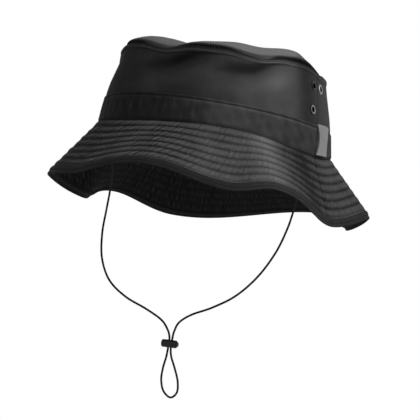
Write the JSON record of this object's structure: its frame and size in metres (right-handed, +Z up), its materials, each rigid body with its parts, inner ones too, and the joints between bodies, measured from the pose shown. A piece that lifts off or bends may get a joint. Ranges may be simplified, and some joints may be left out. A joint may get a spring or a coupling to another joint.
{
  "type": "bucket hat",
  "caption": "Bucket hat with a gathered top, tapered crown, hat band, quilted wavy brim, metal side eyelets and a chin cord with a spring cord lock.",
  "frame": {"origin": "middle of the crown's base, on the level of the brim join, where the head goes in", "axes": "+Z up out of the crown, -Y to the front, +X to the wearer's left"},
  "size_m": [0.239, 0.2896, 0.2705],
  "materials": {
    "charcoal_cloth": "matt woven cotton",
    "quilted_cloth": "matt woven cotton, quilted in stitch rows",
    "under_brim_cloth": "matt woven cotton",
    "binding_tape": "matt woven tape",
    "lining_fabric": "smooth lining cloth",
    "sweatband_twill": "matt twill tape",
    "stiffener_fleece": "pressed fleece",
    "eyelet_metal": "satin nickel",
    "tag_tape": "matt woven tape",
    "cord_braid": "tight round braid",
    "lock_plastic": "satin moulded",
    "spring_steel": "drawn wire"
  },
  "bodies": {
    "hat": {"crown_front_panel": "charcoal_cloth", "crown_back_panel": "charcoal_cloth", "crown_top": "charcoal_cloth", "hat_band_front": "charcoal_cloth", "hat_band_back": "charcoal_cloth", "lining_side": "lining_fabric", "lining_top": "lining_fabric", "sweatband": "sweatband_twill", "brim_upper_front": "quilted_cloth", "brim_upper_back": "quilted_cloth", "brim_under_front": "under_brim_cloth", "brim_under_back": "under_brim_cloth", "brim_stiffener": "stiffener_fleece", "brim_binding": "binding_tape", "eyelet_left_upper_front": "eyelet_metal", "eyelet_left_upper_back": "eyelet_metal", "eyelet_left_lower": "eyelet_metal", "eyelet_right_upper_front": "eyelet_metal", "eyelet_right_upper_back": "eyelet_metal", "eyelet_right_lower": "eyelet_metal", "washer_left_upper_front": "eyelet_metal", "washer_left_upper_back": "eyelet_metal", "washer_left_lower": "eyelet_metal", "washer_right_upper_front": "eyelet_metal", "washer_right_upper_back": "eyelet_metal", "washer_right_lower": "eyelet_metal", "side_tag": "tag_tape", "cord_tab_left": "sweatband_twill", "cord_tab_right": "sweatband_twill"},
    "chin_cord": {"chin_cord": "cord_braid"},
    "cord_lock": {"lock_body": "lock_plastic", "lock_spring": "spring_steel"},
    "lock_button": {"lock_plunger": "lock_plastic"}
  },
  "joints": [
    {"name": "cord_swing", "type": "hinge", "parent": "hat", "child": "chin_cord", "pos_m": [0, -0.0087, 0.0023], "axis": [1, 0, 0], "range_deg": [-40, 60]},
    {"name": "lock_slide", "type": "slide", "parent": "chin_cord", "child": "cord_lock", "axis": [0, 0, 1], "range_m": [-0.025, 0.06], "deforming": ["chin_cord"]},
    {"name": "button_press", "type": "slide", "parent": "cord_lock", "child": "lock_button", "axis": [-1, 0, 0], "range_m": [0, 0.001], "stiffness_N_per_m": 800, "deforming": ["lock_spring"]}
  ]
}
